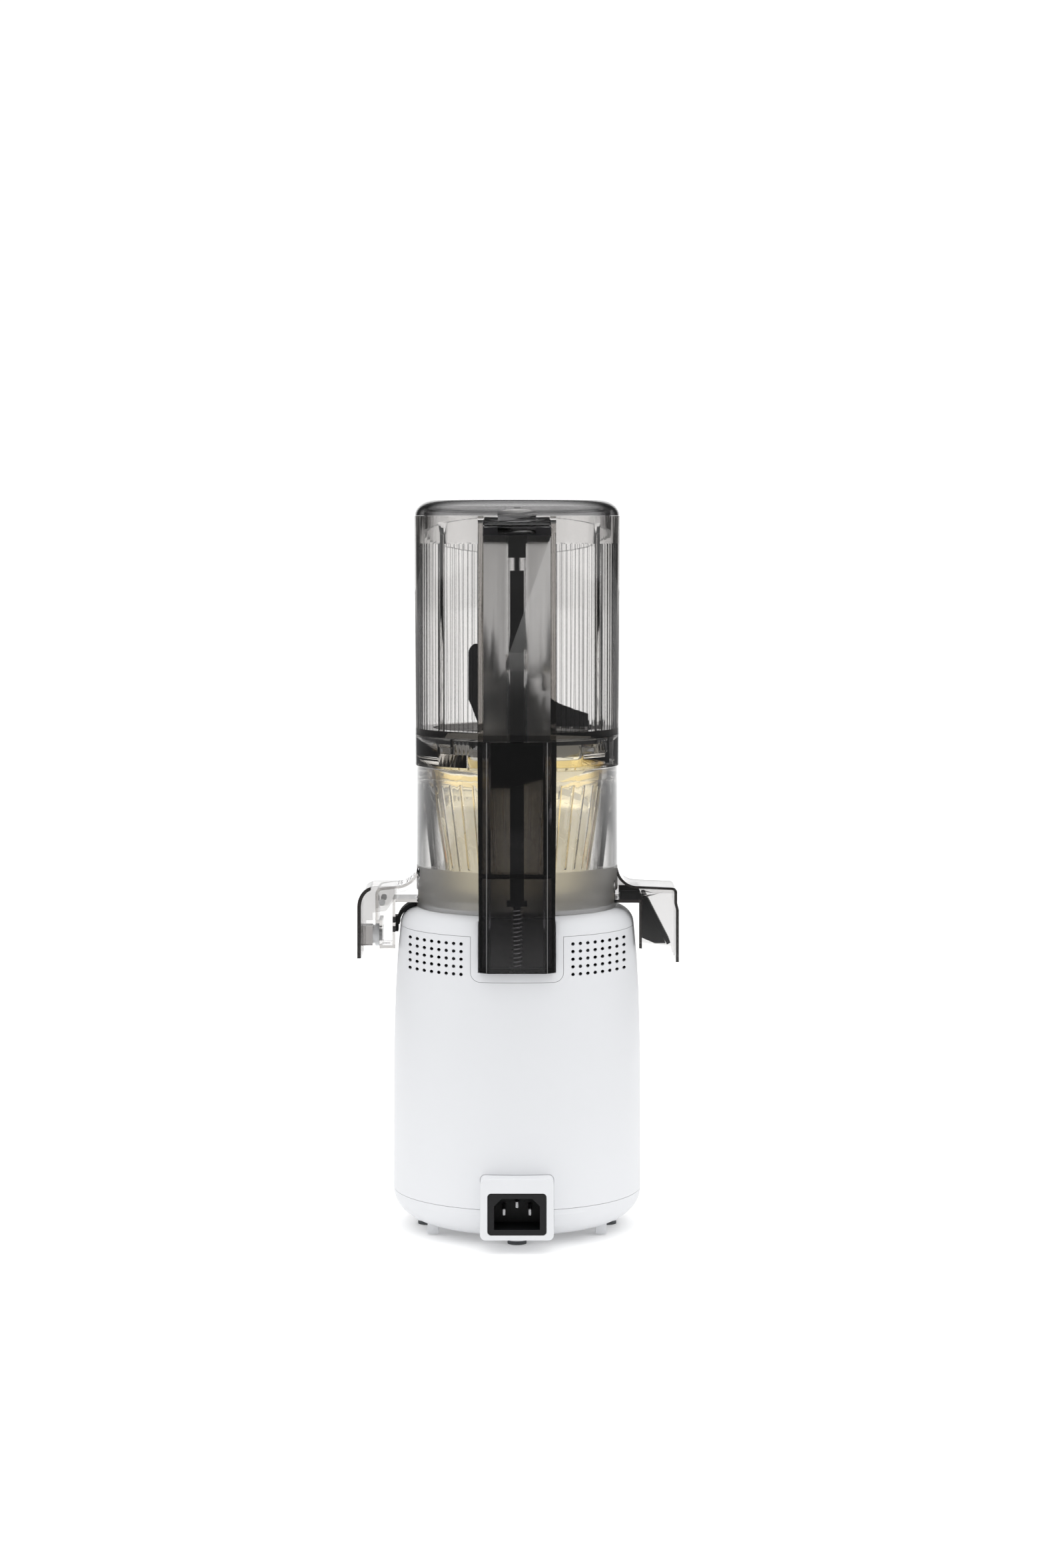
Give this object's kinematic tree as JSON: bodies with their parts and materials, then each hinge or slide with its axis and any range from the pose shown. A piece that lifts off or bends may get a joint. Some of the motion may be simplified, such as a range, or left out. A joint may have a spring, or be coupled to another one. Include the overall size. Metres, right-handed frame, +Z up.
{
  "type": "cold press juicer",
  "caption": "Tall self-feeding cold press juicer: motor base with dial, geared drive, auger and strainer in a smoked chamber, hopper with hinged lid.",
  "frame": {"origin": "on the table under the drive axis, at the bottom centre of the box around the juicer", "axes": "+Z up along the drive axis, +X towards the juice spout, -X towards the pulp spout, -Y towards the dial side, +Y towards the grip and mains inlet"},
  "size_m": [0.1778, 0.158, 0.4028],
  "materials": {
    "white_body": "satin white",
    "smoke_plastic": "clear, smoke-tinted, polished",
    "dark_smoke_plastic": "dark smoke tint, polished",
    "amber_strainer": "amber resin, satin",
    "cream_plastic": "cream, satin",
    "black_plastic": "satin black",
    "black_rubber": "matt black",
    "steel": "machined",
    "copper_wire": "lacquered copper windings",
    "board": "green board"
  },
  "bodies": {
    "base": {"base_shell": "white_body", "shoulder_cover": "white_body", "bottom_cover": "white_body", "rubber_feet": "black_rubber", "bottom_screws": "steel", "inlet_surround": "white_body", "inlet_socket": "black_plastic", "inlet_pins": "steel", "dial_ring": "white_body", "rotary_switch": "black_plastic", "control_board": "board", "board_parts": "black_plastic", "motor_can": "steel", "stator": "steel", "motor_coils": "copper_wire", "motor_lower_plate": "steel", "motor_upper_plate": "steel", "motor_bearings": "steel", "ring_gear": "cream_plastic", "gearbox_cover": "white_body", "output_bearing": "steel", "gearbox_screws": "steel", "shaft_seal": "black_rubber", "lid_switch": "black_plastic"},
    "switch": {"switch_pin": "cream_plastic"},
    "dial": {"control_dial": "white_body", "dial_pointer": "black_plastic"},
    "rotor": {"motor_shaft": "steel", "rotor_core": "steel", "sun_gear": "steel", "cooling_fan": "black_plastic"},
    "drive": {"planet_carrier": "steel", "drive_shaft": "steel"},
    "planet_1": {"planet_gear_1": "cream_plastic"},
    "planet_2": {"planet_gear_2": "cream_plastic"},
    "planet_3": {"planet_gear_3": "cream_plastic"},
    "chamber": {"drum": "smoke_plastic", "grip": "dark_smoke_plastic", "strainer": "amber_strainer", "bowl_seal": "black_rubber", "juice_spout": "smoke_plastic", "drain_plug": "black_rubber", "cap_pins": "steel", "pulp_spout": "smoke_plastic", "pulp_packing": "black_rubber", "rod_spring": "steel"},
    "cap": {"juice_cap": "smoke_plastic", "cap_plug": "white_body"},
    "gate": {"pulp_gate": "black_rubber"},
    "auger": {"auger": "cream_plastic", "feed_wing": "black_plastic"},
    "lower_rod": {"lower_rod": "black_plastic"},
    "hopper": {"hopper": "smoke_plastic", "hopper_gasket": "black_rubber", "hinge_pin": "steel"},
    "upper_rod": {"upper_rod": "black_plastic", "lid_plunger": "black_plastic"},
    "lid": {"lid": "smoke_plastic"}
  },
  "joints": [
    {"name": "rotor_spin", "type": "hinge", "parent": "base", "child": "rotor", "pos_m": [0, 0, 0], "axis": [0, 0, 1], "continuous": true},
    {"name": "drive_spin", "type": "hinge", "parent": "base", "child": "drive", "pos_m": [0, 0, 0], "axis": [0, 0, 1], "continuous": true},
    {"name": "auger_spin", "type": "hinge", "parent": "chamber", "child": "auger", "pos_m": [0, 0, 0], "axis": [0, 0, 1], "continuous": true},
    {"name": "planet_spin_1", "type": "hinge", "parent": "drive", "child": "planet_1", "pos_m": [0.0225, 0, 0], "axis": [0, 0, 1], "continuous": true},
    {"name": "planet_spin_2", "type": "hinge", "parent": "drive", "child": "planet_2", "pos_m": [-0.01125, 0.01949, 0], "axis": [0, 0, 1], "continuous": true},
    {"name": "planet_spin_3", "type": "hinge", "parent": "drive", "child": "planet_3", "pos_m": [-0.01125, -0.01949, 0], "axis": [0, 0, 1], "continuous": true},
    {"name": "chamber_lift", "type": "slide", "parent": "base", "child": "chamber", "axis": [0, 0, 1], "range_m": [0, 0.06]},
    {"name": "hopper_twist", "type": "hinge", "parent": "chamber", "child": "hopper", "pos_m": [0, 0, 0.2725], "axis": [0, 0, 1], "range_deg": [0, 12]},
    {"name": "lid_hinge", "type": "hinge", "parent": "hopper", "child": "lid", "pos_m": [0, 0.0673, 0.3905], "axis": [-1, 0, 0], "range_deg": [0, 100]},
    {"name": "upper_rod_slide", "type": "slide", "parent": "hopper", "child": "upper_rod", "axis": [0, 0, 1], "range_m": [0, 0.003]},
    {"name": "lower_rod_slide", "type": "slide", "parent": "chamber", "child": "lower_rod", "axis": [0, 0, 1], "range_m": [0, 0.003], "deforming": ["rod_spring"]},
    {"name": "switch_pin_slide", "type": "slide", "parent": "base", "child": "switch", "axis": [0, 0, 1], "range_m": [0, 0.0008]},
    {"name": "juice_cap_hinge", "type": "hinge", "parent": "chamber", "child": "cap", "pos_m": [0.07469, 0, 0.1803], "axis": [0, -1, 0], "range_deg": [0, 60]},
    {"name": "pulp_gate_hinge", "type": "hinge", "parent": "chamber", "child": "gate", "pos_m": [-0.0705, 0, 0.1832], "axis": [0, 1, 0], "range_deg": [0, 6], "stiffness_Nm_per_rad": 0.02, "springref_deg": -2.86},
    {"name": "dial_turn", "type": "hinge", "parent": "base", "child": "dial", "pos_m": [0, -0.079, 0.096], "axis": [0, 1, 0], "range_deg": [-40, 40]}
  ],
  "couplings": [
    {"joint": "drive_spin", "follows": "rotor_spin", "ratio": 0.2},
    {"joint": "auger_spin", "follows": "rotor_spin", "ratio": 0.2},
    {"joint": "planet_spin_1", "follows": "rotor_spin", "ratio": -0.53333},
    {"joint": "planet_spin_2", "follows": "rotor_spin", "ratio": -0.53333},
    {"joint": "planet_spin_3", "follows": "rotor_spin", "ratio": -0.53333},
    {"joint": "upper_rod_slide", "follows": "lid_hinge", "m_per_rad": 0.001718},
    {"joint": "lower_rod_slide", "follows": "lid_hinge", "m_per_rad": 0.001718},
    {"joint": "switch_pin_slide", "follows": "lid_hinge", "m_per_rad": 0.000458}
  ]
}
